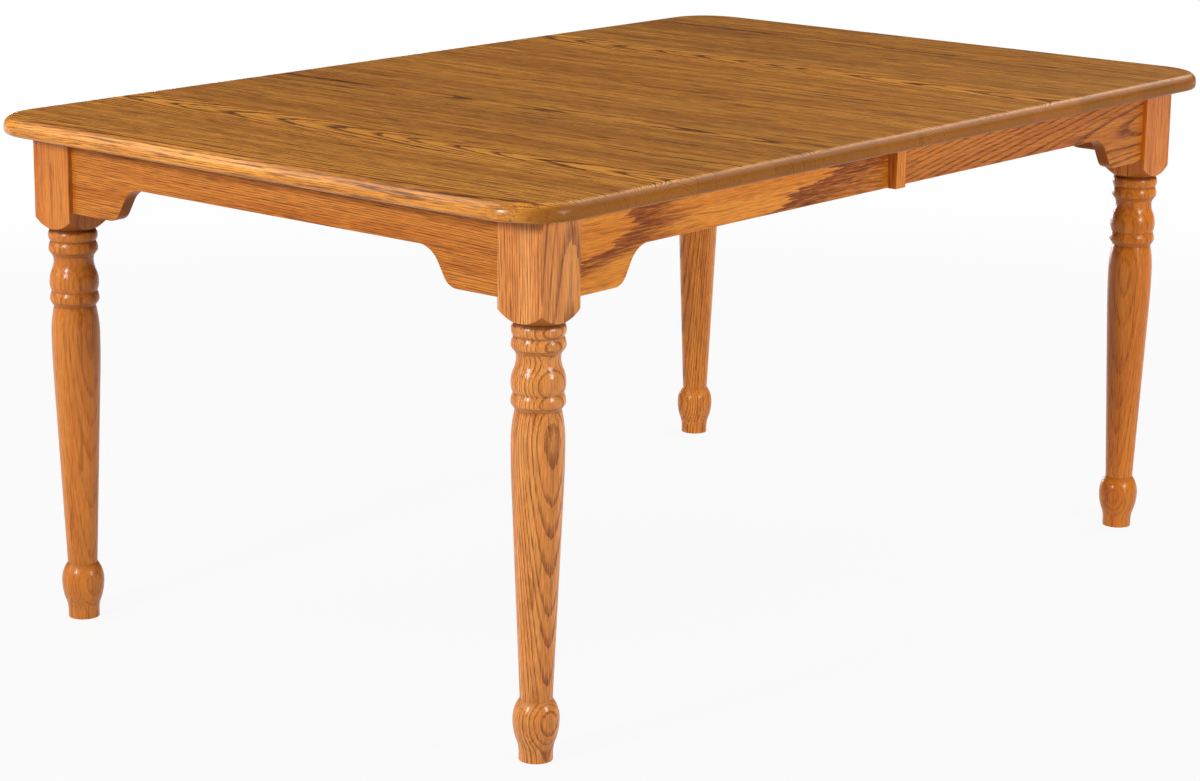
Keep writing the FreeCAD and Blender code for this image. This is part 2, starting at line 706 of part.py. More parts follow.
def across_to_rear(shape):
    """The rear slide set is the front one moved across the table."""
    return shape.translated(V(0, 2 * SLIDE_Y, 0))


# Seam dowels


def seam_dowels():
    """Dowels glued in the left half's seam face, standing out into the right half."""
    return [rod(V(seam_x - DOWEL_LENGTH / 2, station * DOWEL_SPACING, dowel_z), V(1, 0, 0), DOWEL_LENGTH,
                DOWEL_RADIUS) for station in DOWEL_STATIONS]


def dowel_holes():
    """Holes in the left half for its own dowels, and sockets for the right half's dowels."""
    holes = []
    for station in DOWEL_STATIONS:
        own = V(seam_x, station * DOWEL_SPACING, dowel_z)
        other = V(seam_x, -station * DOWEL_SPACING, dowel_z)
        holes.append(rod(own, V(-1, 0, 0), DOWEL_LENGTH / 2 + FIT, DOWEL_RADIUS + FIT))
        depth = DOWEL_LENGTH / 2 + SOCKET_SPARE
        holes.append(rod(other, V(-1, 0, 0), depth, DOWEL_RADIUS + SOCKET_CLEARANCE))
    return holes


# Seam locks: the front one has its lever on the left half and its keeper on the right half


def lock_base_screws():
    """Two screws on the base plate's diagonal."""
    seats = []
    for sign in (-1, 1):
        seats.append(lock_pivot + V(sign * LOCK_BASE_SCREW_X, sign * LOCK_SCREW_SPREAD, plate_low))
    return [(seat, UP, LOCK_PLATE) for seat in seats]


def lock_base():
    half_x = LOCK_BASE_LENGTH / 2
    half_y = LOCK_BASE_WIDTH / 2
    x = lock_pivot.x
    y = lock_pivot.y
    plate = box((x - half_x, x + half_x), (y - half_y, y + half_y), (plate_low, under))
    holes = [screw_hole(*one) for one in lock_base_screws()]
    return plate.cut(holes)


def lock_rivet():
    """The lever's pivot: a collar against the plate, a shaft and a head below the lever."""
    collar_end = lever_top + LEVER_PLAY
    head_top = lever_low - LEVER_PLAY
    collar = rod(V(lock_pivot.x, lock_pivot.y, collar_end), UP, plate_low - collar_end, RIVET_COLLAR_RADIUS)
    shaft = rod(V(lock_pivot.x, lock_pivot.y, head_top), UP, plate_low - head_top, RIVET_RADIUS)
    head_low = head_top - RIVET_HEAD_HEIGHT
    head = rod(V(lock_pivot.x, lock_pivot.y, head_low), UP, RIVET_HEAD_HEIGHT, RIVET_COLLAR_RADIUS)
    return shaft.fuse((collar, head)).removeSplitter()


def on_circle(radius, degrees):
    angle = math.radians(degrees)
    return (radius * math.cos(angle), radius * math.sin(angle))


def ring_sector(inner, outer, start, end):
    """A piece of a flat ring about the lock's pivot, as thick as the lever."""
    middle = (start + end) / 2
    first = on_circle(inner, start)
    steps = [
        (on_circle(outer, start),),
        (on_circle(outer, middle), on_circle(outer, end)),
        (on_circle(inner, end),),
        (on_circle(inner, middle), first),
    ]
    return face_along(first, steps, in_xy(lever_low)).extrude(UP * LEVER_THICKNESS)


def lever_bar(start, end, width, degrees):
    """A straight bar of the lever, along a ray from the pivot."""
    bar = box((start, end), (-width / 2, width / 2), (lever_low, lever_top))
    return bar.rotated(V(0, 0, 0), UP, degrees)


def lock_lever():
    """Lever with an arc-shaped slot that closes round the keeper's pin, shown swung open."""
    slot = KEEPER_PIN_RADIUS + KEEPER_PIN_CLEARANCE
    hook = ring_sector(lever_radius - HOOK_HALF_WIDTH, lever_radius + HOOK_HALF_WIDTH,
                       HOOK_START_ANGLE, HOOK_END_ANGLE)
    boss = rod(V(0, 0, lever_low), UP, LEVER_THICKNESS, LEVER_BOSS_RADIUS)
    arm = lever_bar(0, lever_radius - HOOK_HALF_WIDTH / 2, LEVER_ARM_WIDTH, LEVER_ARM_ANGLE)
    handle_end = lever_radius + HOOK_HALF_WIDTH + HANDLE_LENGTH
    handle = lever_bar(lever_radius + HOOK_HALF_WIDTH / 2, handle_end, HANDLE_WIDTH, LEVER_ARM_ANGLE)
    tip = on_circle(handle_end, LEVER_ARM_ANGLE)
    knob = rod(V(tip[0], tip[1], lever_low), UP, LEVER_THICKNESS, HANDLE_WIDTH / 2)
    lever = hook.fuse((boss, arm, handle, knob)).removeSplitter()
    slot_end = on_circle(lever_radius, HOOK_SLOT_ANGLE)
    open_end = HOOK_END_ANGLE + math.degrees(OVERCUT / lever_radius)
    tools = [
        ring_sector(lever_radius - slot, lever_radius + slot, HOOK_SLOT_ANGLE, open_end),
        rod(V(slot_end[0], slot_end[1], lever_low), UP, LEVER_THICKNESS, slot),
        rod(V(0, 0, lever_low), UP, LEVER_THICKNESS, RIVET_RADIUS + FIT),
    ]
    open_lever = lever.cut(tools).rotated(V(0, 0, 0), UP, -LOCK_SWING)
    return open_lever.translated(lock_pivot)


def keeper_screws():
    """Screws either side of the front keeper's pin."""
    seats = [V(KEEPER_REACH, -LOCK_Y + sign * LOCK_SCREW_SPREAD, plate_low) for sign in (-1, 1)]
    return [(seat, UP, LOCK_PLATE) for seat in seats]


def lock_keeper():
    """The front lock's keeper: a plate with the pin that the lever hooks."""
    half_x = KEEPER_LENGTH / 2
    half_y = KEEPER_WIDTH / 2
    x_span = (KEEPER_REACH - half_x, KEEPER_REACH + half_x)
    plate = box(x_span, (-LOCK_Y - half_y, -LOCK_Y + half_y), (plate_low, under))
    pin_length = LEVER_GAP + LEVER_THICKNESS + PIN_PAST_LEVER
    pin = rod(V(KEEPER_REACH, -LOCK_Y, plate_low), UP * -1, pin_length, KEEPER_PIN_RADIUS)
    holes = [screw_hole(*one) for one in keeper_screws()]
    return plate.fuse(pin).cut(holes)


# Top


def top_half(holes):
    """The left half of the top, its outer edges rounded, with the holes in its underside and seam."""
    radius = TOP_CORNER_RADIUS
    cut_in = radius * (1 - math.sqrt(0.5))
    steps = [
        ((-half_length + radius, -half_width),),
        ((-half_length + cut_in, -half_width + cut_in), (-half_length, -half_width + radius)),
        ((-half_length, half_width - radius),),
        ((-half_length + cut_in, half_width - cut_in), (-half_length + radius, half_width)),
        ((seam_x, half_width),),
    ]
    slab = face_along((seam_x, -half_width), steps, in_xy(under)).extrude(UP * TOP_THICKNESS)
    for level, round_over in ((TABLE_HEIGHT, TOP_UPPER_ROUND), (under, TOP_LOWER_ROUND)):
        slab = slab.makeFillet(round_over, outer_edges(slab, level))
    return slab.cut(holes)


def outer_edges(slab, level):
    """The edges of the slab at one height, apart from the one along the seam."""
    found = []
    for edge in slab.Edges:
        span = edge.BoundBox
        flat = span.ZLength < FIT and abs(span.ZMin - level) < FIT
        if flat and span.XMin < seam_x - SEAM_GAP:
            found.append(edge)
    return found


def half_pieces():
    """Every piece of the left half, as (name, face, shape); face is front, rear or nothing."""
    corner_front = corner_screws()
    blocks, top_screws, end_screws, front_screws, rear_screws = glue_blocks()
    rail_screws = slide_screws()
    rear_shift = V(0, 2 * SLIDE_Y, 0)
    rail_screws_all = rail_screws + [(seat + rear_shift, way, grip) for seat, way, grip in rail_screws]
    base_screws = lock_base_screws()
    front_keeper_screws = keeper_screws()

    top_holes = dowel_holes()
    top_holes += [screw_hole(*one) for one in top_screws + rail_screws_all + base_screws]
    top_holes += [half_turn(screw_hole(*one)) for one in front_keeper_screws]

    into_end = screw_hole(*corner_front[0])
    into_side = screw_hole(*corner_front[1])
    end_holes = [into_end, into_end.mirror(V(0, 0, 0), V(0, 1, 0))]
    end_holes += [screw_hole(*one) for one in end_screws]
    front_holes = [into_side] + [screw_hole(*one) for one in front_screws]
    rear_holes = [mirrored_rear(into_side)] + [screw_hole(*one) for one in rear_screws]

    bolts, washers, nuts = hanger_set()
    block_screws = [screw(*one) for one in corner_front]
    apron_screws = block_screws + [mirrored_rear(one) for one in block_screws]
    apron_screws += [screw(*one) for one in top_screws + end_screws + front_screws + rear_screws]
    lock_screws = [screw(*one) for one in base_screws]
    lock_screws += [half_turn(screw(*one)) for one in front_keeper_screws]
    one_leg = leg()
    front_rail = fixed_rail()
    front_rack = gear_rack()
    brace = corner_block()
    return [
        ("top_{half}_half", None, top_half(top_holes)),
        ("leg_{half}_{face}", "front", one_leg.translated(leg_axis)),
        ("leg_{half}_{face}", "rear", at_rear(one_leg.translated(leg_axis))),
        ("apron_{half}_end", None, end_apron().cut(end_holes)),
        ("apron_{half}_{face}", "front", side_apron().cut(front_holes)),
        ("apron_{half}_{face}", "rear", mirrored_rear(side_apron()).cut(rear_holes)),
        ("seam_batten_{face}", "rear", half_turn(seam_batten())),
        ("corner_block_{half}_{face}", "front", brace),
        ("corner_block_{half}_{face}", "rear", mirrored_rear(brace)),
        ("hanger_bolts_{half}", None, group(bolts + [at_rear(one) for one in bolts])),
        ("hanger_washers_{half}", None, group(washers + [at_rear(one) for one in washers])),
        ("hanger_nuts_{half}", None, group(nuts + [at_rear(one) for one in nuts])),
        ("glue_blocks_{half}", None, group([with_screw_holes(one, top_screws + end_screws + front_screws
                                                             + rear_screws) for one in blocks])),
        ("apron_screws_{half}", None, group(apron_screws)),
        ("slide_rail_{half}_{face}", "front", front_rail),
        ("slide_rail_{half}_{face}", "rear", across_to_rear(front_rail)),
        ("gear_rack_{half}_{face}", "front", front_rack),
        ("gear_rack_{half}_{face}", "rear", across_to_rear(front_rack)),
        ("slide_screws_{half}", None, group([screw(*one) for one in rail_screws_all])),
        ("seam_dowels_{half}", None, group(seam_dowels())),
        ("lock_base_{face}", "front", lock_base()),
        ("lock_rivet_{face}", "front", lock_rivet()),
        ("lock_lever_{face}", "front", lock_lever()),
        ("lock_keeper_{face}", "rear", half_turn(lock_keeper())),
        ("lock_screws_{half}", None, group(lock_screws)),
    ]


def with_screw_holes(block, screws):
    """A glue block with the holes of the screws that pass through it."""
    return block.cut([screw_hole(*one) for one in screws])


def group(shapes):
    """Separate solids kept together as one piece of the list."""
    return Part.makeCompound(shapes)


def all_pieces():
    """Every node's name and shape."""
    other = {"front": "rear", "rear": "front", None: None}
    pieces = {}
    for name, face, shape in half_pieces():
        pieces[name.format(half="left", face=face)] = shape
        pieces[name.format(half="right", face=other[face])] = half_turn(shape)
    centre_set = {"slide_rail_centre": centre_rail(), "pinion_axle": pinion_axle(), "pinion": pinion()}
    for name, shape in centre_set.items():
        pieces[name + "_front"] = shape
        pieces[name + "_rear"] = across_to_rear(shape)
    return pieces


os.makedirs("parts", exist_ok=True)
for node, solid in sorted(all_pieces().items()):
    solid.exportStep("parts/" + node + ".step")
    print(node, "solids", len(solid.Solids), "volume", round(solid.Volume), "valid", solid.isValid())
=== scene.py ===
# %% [markdown]
# # A turned-leg extension table in golden oak
# The table is already built at its real size: top halves, legs, aprons, slides and hardware are
# fixed solids in metres. This lesson leaves every solid where it is and gives each one its finish.
# We could model everything again as meshes, but the solids have the right shape, so our work goes
# into the wood, the metal, the light and the camera.

# %% Load the table
import math
from collections import namedtuple

import bpy
from mathutils import Matrix, Vector


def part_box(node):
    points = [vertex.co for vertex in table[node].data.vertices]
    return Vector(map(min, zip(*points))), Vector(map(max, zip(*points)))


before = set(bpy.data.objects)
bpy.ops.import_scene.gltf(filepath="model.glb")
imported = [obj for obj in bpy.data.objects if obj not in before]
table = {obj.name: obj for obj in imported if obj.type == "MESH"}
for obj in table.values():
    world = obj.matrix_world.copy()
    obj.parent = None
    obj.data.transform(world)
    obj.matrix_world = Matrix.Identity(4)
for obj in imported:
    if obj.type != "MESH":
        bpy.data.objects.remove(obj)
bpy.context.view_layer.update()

# %% [markdown]
# ## The camera
# The table was photographed from a standing height with a long lens, a little to the left of the
# near corner. We could place the camera by eye, but a pinhole camera fitted to the outline of the
# table gives its place, its three angles and its focal length at once. The focal length comes out
# in pixels of a frame 1200 wide, so it is scaled to a sensor 36 mm wide.

# %% Lens
FRAME_WIDTH = 1200
FOCAL_PIXELS = 3109.4
SENSOR_WIDTH = 36.0
CLIP_END = 200.0

lens = bpy.data.cameras.new("camera")
lens.sensor_width = SENSOR_WIDTH
lens.lens = FOCAL_PIXELS / FRAME_WIDTH * SENSOR_WIDTH
lens.clip_end = CLIP_END
camera = bpy.data.objects.new("camera", lens)
bpy.context.scene.collection.objects.link(camera)
bpy.context.scene.camera = camera
print("lens", round(lens.lens, 1), "mm")

# %% Aim
CAMERA_PLACE = Vector((-3.659, -3.002, 1.474))
YAW, PITCH, ROLL = (math.radians(angle) for angle in (50.05, 14.06, 0.69))

ahead = Vector((math.sin(YAW) * math.cos(PITCH),
                math.cos(YAW) * math.cos(PITCH),
                -math.sin(PITCH)))
level_right = Vector((math.cos(YAW), -math.sin(YAW), 0.0))
level_up = level_right.cross(ahead)
right = level_right * math.cos(ROLL) + level_up * math.sin(ROLL)
up = level_up * math.cos(ROLL) - level_right * math.sin(ROLL)
turn = Matrix((right, up, -ahead)).transposed()
camera.matrix_world = Matrix.Translation(CAMERA_PLACE) @ turn.to_4x4()
print("camera at", [round(value, 2) for value in CAMERA_PLACE])
print("camera looks along", [round(value, 2) for value in ahead])

# %% [markdown]
# ## Small helpers for shader nodes
# Every finish below is a node tree. Writing each node by hand takes three lines or more, so these
# helpers add one node, set its options, and either link or set each of its inputs. One more helper
# turns a colour as we see it on a screen into the linear light that a shader works in.

# %% Node helpers
def add_node(tree, kind, inputs=None, **options):
    """One shader node; an input that is a socket is linked, and any other input is set."""
    node = tree.nodes.new("ShaderNode" + kind)
    for option, value in options.items():
        setattr(node, option, value)
    for key, value in (inputs or {}).items():
        if isinstance(value, bpy.types.NodeSocket):
            tree.links.new(value, node.inputs[key])
        else:
            node.inputs[key].default_value = value
    return node


def compute(tree, operation, *values):
    return add_node(tree, "Math", dict(enumerate(values)), operation=operation).outputs[0]


def compute_vector(tree, operation, first, second):
    return add_node(tree, "VectorMath", {0: first, 1: second}, operation=operation).outputs[0]


print("node helpers", [helper.__name__ for helper in (add_node, compute, compute_vector)])

# %% Steps and mixes
# The Mix node keeps its colour sockets behind those for numbers and vectors.
COLOUR_FIRST, COLOUR_SECOND, COLOUR_MIXED = 6, 7, 2


def soft_step(tree, value, start, end):
    """0 before start, 1 after end and a smooth rise between them; a fall if end comes first."""
    inputs = {"Value": value, "From Min": start, "From Max": end}
    return add_node(tree, "MapRange", inputs, interpolation_type="SMOOTHSTEP").outputs[0]


def mix_colour(tree, share, first, second, blend="MIX"):
    inputs = {"Factor": share, COLOUR_FIRST: first, COLOUR_SECOND: second}
    mixed = add_node(tree, "Mix", inputs, data_type="RGBA", blend_type=blend)
    return mixed.outputs[COLOUR_MIXED]


print("step and mix helpers", [helper.__name__ for helper in (soft_step, mix_colour)])

# %% Materials
def new_material(name):
    """An empty material and its node tree."""
    material = bpy.data.materials.new(name)
    material.use_nodes = True
    material.node_tree.nodes.clear()
    return material, material.node_tree


def show_surface(tree, shader):
    add_node(tree, "OutputMaterial", {"Surface": shader.outputs[0]})


print("material helpers", [helper.__name__ for helper in (new_material, show_surface)])

# %% Colours
SCREEN_WHITE = 255
CURVE_STARTS = 0.04045
FOOT_SLOPE = 12.92
CURVE_OFFSET = 0.055
CURVE_POWER = 2.4


def linear_light(value):
    """One screen value through the sRGB curve: a straight foot, then a power."""
    share = value / SCREEN_WHITE
    if share <= CURVE_STARTS:
        return share / FOOT_SLOPE
    return ((share + CURVE_OFFSET) / (1.0 + CURVE_OFFSET)) ** CURVE_POWER


def colour(red, green, blue):
    """A colour as it looks on a screen, from 0 to 255, as the light that a shader takes."""
    return (linear_light(red), linear_light(green), linear_light(blue), 1.0)


print("a screen grey of 128 is", round(linear_light(128), 3), "in linear light")

# %% [markdown]
# ## Oak as a solid
# A board is a slice of a trunk, and its figure is what the cut makes of the year rings: arches
# where a face runs along a ring, straight lines where it crosses the rings, small arcs on the end
# grain. We could draw these on each face, but then a corner would not join up. Instead one node
# group works out how far each point lies from the pith of a trunk, counts rings, and lets any face
# cut through them. Red oak starts each ring with a row of open pores that soak up stain, so the
# early part of a ring is dark and ragged along the grain.

# %% Figure of oak: what goes in and out
SEED_SHIFT = (3.7, 1.9, 2.3)
FIGURE_PARTS = ("Early", "Pores", "Bright", "Flecks", "Mottle")

oak = bpy.data.node_groups.new("oak_figure", "ShaderNodeTree")
for name in ("Point", "Pith", "Lean"):
    oak.interface.new_socket(name=name, in_out="INPUT", socket_type="NodeSocketVector")
for name in ("Ring", "Rag", "Seed"):
    oak.interface.new_socket(name=name, in_out="INPUT", socket_type="NodeSocketFloat")
for name in FIGURE_PARTS:
    oak.interface.new_socket(name=name, in_out="OUTPUT", socket_type="NodeSocketFloat")
trunk = oak.nodes.new("NodeGroupInput").outputs
seeded = {0: trunk["Seed"], 1: SEED_SHIFT, 2: trunk["Point"]}
moved = add_node(oak, "VectorMath", seeded, operation="MULTIPLY_ADD").outputs[0]
print("oak takes", [item.name for item in oak.interface.items_tree if item.in_out == "INPUT"])

# %% Figure of oak: distance from the pith
STREAK_ROUGH = 0.55
NOISE_MIDDLE = (0.5, 0.5, 0.5)
WANDER_CELLS = (1.4, 9.0)
WANDER_REACH = 0.014
ACROSS_ONLY = (0.0, 1.0, 1.0)


def streak_noise(tree, point, along, across, detail=2.0):
    """Noise drawn out along the grain; along and across are its cells per metre."""
    stretched = compute_vector(tree, "MULTIPLY", point, (along, across, across))
    inputs = {"Vector": stretched, "Scale": 1.0, "Detail": detail, "Roughness": STREAK_ROUGH}
    return add_node(tree, "TexNoise", inputs).outputs


wander = streak_noise(oak, moved, *WANDER_CELLS, detail=1.0)["Color"]
wander = compute_vector(oak, "SUBTRACT", wander, NOISE_MIDDLE)
wander = compute_vector(oak, "MULTIPLY", wander, (0.0, WANDER_REACH, WANDER_REACH))
along_grain = add_node(oak, "SeparateXYZ", {0: trunk["Point"]}).outputs[0]
lean_inputs = {0: trunk["Lean"], "Scale": along_grain}
leaning = add_node(oak, "VectorMath", lean_inputs, operation="SCALE").outputs[0]
from_pith = compute_vector(oak, "SUBTRACT", trunk["Point"], trunk["Pith"])
from_pith = compute_vector(oak, "SUBTRACT", from_pith, leaning)
from_pith = compute_vector(oak, "ADD", from_pith, wander)
from_pith = compute_vector(oak, "MULTIPLY", from_pith, ACROSS_ONLY)
radius = add_node(oak, "VectorMath", {0: from_pith}, operation="LENGTH").outputs["Value"]
print("the pith wanders by up to", WANDER_REACH / 2, "m")

# %% Figure of oak: rings
SWELL_PACE = 0.31
SWELL_REACH = 1.5
RING_RAGS = ((4.0, 70.0, 0.70), (20.0, 330.0, 0.55))
EARLY_STARTS = 0.02
EARLY_FADES = (0.12, 0.45)

rings = compute(oak, "DIVIDE", radius, trunk["Ring"])
counted = {"W": compute(oak, "ADD", rings, trunk["Seed"]), "Scale": SWELL_PACE}
swell = add_node(oak, "TexNoise", counted, noise_dimensions="1D").outputs[0]
rings = compute(oak, "MULTIPLY_ADD", swell, SWELL_REACH, rings)
for along, across, reach in RING_RAGS:
    rag = streak_noise(oak, moved, along, across)["Fac"]
    rag_reach = compute(oak, "MULTIPLY", trunk["Rag"], reach)
    rings = compute(oak, "MULTIPLY_ADD", rag, rag_reach, rings)
phase = compute(oak, "FRACT", rings)
opened = soft_step(oak, phase, 0.0, EARLY_STARTS)
early = compute(oak, "MULTIPLY", opened, soft_step(oak, phase, *EARLY_FADES[::-1]))
print("early wood is gone by", EARLY_FADES[1], "of a ring")

# %% Figure of oak: pores
COARSE_CELLS = (32.0, 640.0)
COARSE_RANGE = (0.47, 0.64)
PALE_SHEEN_RANGE = (0.48, 0.32)
FINE_CELLS = (42.0, 1250.0)
FINE_RANGE = (0.46, 0.62)
FINE_WEIGHT = 0.75
PORES_IN_LATE = 0.45

dashes = streak_noise(oak, moved, *COARSE_CELLS, detail=3.0)["Fac"]
coarse = soft_step(oak, dashes, *COARSE_RANGE)
# Pale dashes where the coarse noise is low: partly paler wood, partly a painted sheen for the
# sparkle of light on the lacquer.
pale_dashes_and_sheen = soft_step(oak, dashes, *PALE_SHEEN_RANGE)
fine = soft_step(oak, streak_noise(oak, moved, *FINE_CELLS)["Fac"], *FINE_RANGE)
open_grain = compute(oak, "MAXIMUM", coarse, compute(oak, "MULTIPLY", fine, FINE_WEIGHT))
crowding = compute(oak, "MULTIPLY_ADD", early, 1.0 - PORES_IN_LATE, PORES_IN_LATE)
pores = compute(oak, "MULTIPLY", open_grain, crowding)
print("late wood keeps", PORES_IN_LATE, "of the pores")

# %% Figure of oak: flecks and mottle
FLECK_CELLS = (9.0, 150.0)
FLECK_RANGE = (0.61, 0.69)
MOTTLE_CELLS = (1.8, 48.0)

flecks = streak_noise(oak, moved, *FLECK_CELLS, detail=1.0)["Fac"]
flecks = soft_step(oak, flecks, *FLECK_RANGE)
mottle = streak_noise(oak, moved, *MOTTLE_CELLS, detail=3.0)["Fac"]

figure_out = oak.nodes.new("NodeGroupOutput")
for name, socket in zip(FIGURE_PARTS, (early, pores, pale_dashes_and_sheen, flecks, mottle)):
    oak.links.new(socket, figure_out.inputs[name])
print("oak figure has", len(oak.nodes), "nodes and gives", FIGURE_PARTS)

# %% [markdown]
# ## How a board sits in its trunk
# Two boards of one trunk look different, because they were sawn from different places in it. For
# each board we note which way its grain runs, where the pith lies, how the trunk leans along the
# board and how wide its rings are. We could unwrap each piece and lay a picture on it, but object
# coordinates and these few numbers reach every face at once. The normal then tells which faces are
# end grain and which are the edges of the board.

# %% Boards
# axes: the local axes that run along the grain, across the face and into the board
# pith: how far across and into the board the pith lies; lean: its shift per metre of grain
# ring, rag, bold: how wide, how ragged and how dark the rings are
# seed, tone: which trunk it is, and its shade; edge_calm: how much rings fade on the edges
PLAIN = (1.0, 1.0, 1.0)
Board = namedtuple("Board", "axes centre pith lean ring seed rag tone bold edge_calm",
                   defaults=(1.0, PLAIN, 1.0, 0.0))
FACING = (0.25, 0.80)


def board_point(tree, board):
    """A point in the board's own axes, and how much it belongs to an end and to an edge."""
    place = tree.nodes.new("ShaderNodeTexCoord")
    local = compute_vector(tree, "SUBTRACT", place.outputs["Object"], tuple(board.centre))
    split = add_node(tree, "SeparateXYZ", {0: local}).outputs
    picked = {axis: split["XYZ".index(letter)] for axis, letter in enumerate(board.axes)}
    point = add_node(tree, "CombineXYZ", picked).outputs[0]
    facing = add_node(tree, "SeparateXYZ", {0: place.outputs["Normal"]}).outputs
    squareness = [compute(tree, "ABSOLUTE", facing["XYZ".index(letter)])
                  for letter in board.axes[:2]]
    end_share, edge_share = (soft_step(tree, square, *FACING) for square in squareness)
    return point, end_share, edge_share


print("a board has", Board._fields)

# %% [markdown]
# ## Stain and lacquer
# The finish on the real table is a golden stain under a satin lacquer. The stain is palest in the
# dense late wood, browner in the early wood and darkest in the pores. The pores stay a little open
# under the lacquer, so they also dent the surface and break up its shine. End grain drinks stain
# and lacquer alike, so it is darker and duller. The grooves of the turning are darkened where an
# occlusion node finds them: partly stain left there, partly painted shade. Pale dashes along the
# grain are partly paler wood, partly a painted sheen. We could paint colour, roughness and bump
# apart, but taking all three from one figure keeps them in step.

# %% Stains
Stain = namedtuple("Stain", "late mid early pore figure")
TOP_STAIN = Stain(late=colour(238, 160, 60), mid=colour(198, 122, 38),
                  early=colour(108, 52, 14), pore=colour(56, 24, 6), figure=1.0)
FRAME_STAIN = Stain(late=colour(230, 144, 54), mid=colour(212, 122, 38),
                    early=colour(152, 74, 18), pore=colour(84, 36, 8), figure=0.7)
LIGHTEST = 0.95


def toned(stain, tone):
    """The same stain on a piece of wood that is lighter, darker or redder than the rest."""
    shades = [tuple(min(part * share, LIGHTEST) for part, share in zip(shade, tone)) + (1.0,)
              for shade in stain[:4]]
    return Stain(*shades, stain.figure)


print("late wood of the top", [round(part, 2) for part in TOP_STAIN.late[:3]])

# %% Lacquers
Lacquer = namedtuple("Lacquer", "rough shine coat coat_rough dent")
TOP_LACQUER = Lacquer(rough=0.34, shine=0.06, coat=0.60, coat_rough=0.24, dent=0.00022)
LEG_LACQUER = Lacquer(rough=0.36, shine=0.10, coat=0.40, coat_rough=0.19, dent=0.00016)
FRAME_LACQUER = Lacquer(rough=0.38, shine=0.10, coat=0.20, coat_rough=0.18, dent=0.00030)
for name, lacquer in (("top", TOP_LACQUER), ("legs", LEG_LACQUER), ("frame", FRAME_LACQUER)):
    print("pores dent the", name, "by", round(lacquer.dent * 1000, 2), "mm")

# %% Colour of stained wood
END_DARK = 0.74
MOTTLE_RANGE = (0.35, 0.65)
FLECK_WEIGHT = 0.70
PALE_SHEEN_WEIGHT = 0.60
PORE_WEIGHTS = (0.35, 0.75)
GROOVE_REACH = 0.012
GROOVE_RANGE = (0.97, 0.74)
GROOVE_STAIN_AND_SHADE = 0.78


def stained_colour(tree, parts, end_share, stain, bold):
    """Late wood, figure and a painted sheen, darker end grain, stain and painted shade in grooves.
    """
    # An occlusion node darkens the grooves towards pore colour: stain caught there, and painted
    # shade too.
    openness = add_node(tree, "AmbientOcclusion", {"Distance": GROOVE_REACH}, only_local=True)
    grooves = soft_step(tree, openness.outputs["AO"], *GROOVE_RANGE)
    pore_weight = PORE_WEIGHTS[0] + (PORE_WEIGHTS[1] - PORE_WEIGHTS[0]) * min(bold, 1.0)
    steps = ((soft_step(tree, parts["Mottle"], *MOTTLE_RANGE), 1.0, stain.mid),
             (parts["Early"], stain.figure * bold, stain.early),
             (parts["Flecks"], stain.figure * FLECK_WEIGHT, stain.early),
             # pale dashes towards late wood: partly pale grain, partly painted sheen
             (parts["Bright"], PALE_SHEEN_WEIGHT, stain.late),
             (parts["Pores"], pore_weight, stain.pore),
             (end_share, END_DARK, stain.early),
             # grooves towards pore colour: stain and painted shade
             (grooves, GROOVE_STAIN_AND_SHADE, stain.pore))
    shade = stain.late
    for part, weight, colour_of_part in steps:
        shade = mix_colour(tree, compute(tree, "MULTIPLY", part, weight), shade, colour_of_part)
    return shade


# The darkening in the grooves is stain and painted shade alike.
print("grooves hold stain within", GROOVE_REACH * 1000, "mm of another face")

# %% Wood finish
END_CALM = 0.66
END_DULL = 0.80
PORE_ROUGH = 0.16
MOTTLE_ROUGH = 0.08
EARLY_DENT = 0.35
WOOD_RELIEF = 0.60
LACQUER_RELIEF = 0.25


def oak_finish(name, board, stain, lacquer, boards=None):
    """A wood material for one piece: its own cut of the trunk, its stain and its lacquer."""
    material, tree = new_material(name)
    point, end_share, edge_share = board_point(tree, board)
    cut = {"Point": point, "Pith": (0.0, *board.pith), "Lean": (0.0, *board.lean),
           "Ring": board.ring, "Rag": board.rag, "Seed": board.seed}
    changed, board_tone = boards(tree, point) if boards else ({}, None)
    figure = add_node(tree, "Group", {**cut, **changed}, node_tree=oak).outputs
    calm = compute(tree, "MULTIPLY_ADD", end_share, -END_CALM, 1.0)
    parts = {part: compute(tree, "MULTIPLY", figure[part], calm) for part in FIGURE_PARTS}
    if board.edge_calm:
        ring_share = compute(tree, "MULTIPLY_ADD", edge_share, -board.edge_calm, 1.0)
        parts["Early"] = compute(tree, "MULTIPLY", parts["Early"], ring_share)
    shade = stained_colour(tree, parts, end_share, toned(stain, board.tone), board.bold)
    if board_tone:
        shade = mix_colour(tree, 1.0, shade, board_tone, "MULTIPLY")

    rough = compute(tree, "MULTIPLY_ADD", parts["Pores"], PORE_ROUGH, lacquer.rough)
    rough = compute(tree, "MULTIPLY_ADD", parts["Mottle"], MOTTLE_ROUGH, rough)
    coat = lacquer.coat
    if coat:
        coat = compute(tree, "MULTIPLY_ADD", end_share, -coat * END_DULL, coat)
    depth = compute(tree, "MULTIPLY_ADD", parts["Early"], EARLY_DENT, parts["Pores"])
    dents = {"Height": depth, "Distance": lacquer.dent}
    wood = add_node(tree, "Bump", {**dents, "Strength": WOOD_RELIEF}, invert=True).outputs[0]
    film = add_node(tree, "Bump", {**dents, "Strength": LACQUER_RELIEF}, invert=True).outputs[0]
    show_surface(tree, add_node(tree, "BsdfPrincipled", {
        "Base Color": shade, "Roughness": rough, "Specular IOR Level": lacquer.shine,
        "Coat Weight": coat, "Coat Roughness": lacquer.coat_rough,
        "Normal": wood, "Coat Normal": film}))
    return material


print("end grain keeps", round(1.0 - END_CALM, 2), "of the figure")

# %% Dressing a piece
def dress(node_name, material):
    """Puts a finish on a piece in place of the plain one that it came with."""
    for slot in table[node_name].material_slots:
        slot.material = material


print("pieces to dress", len(table))

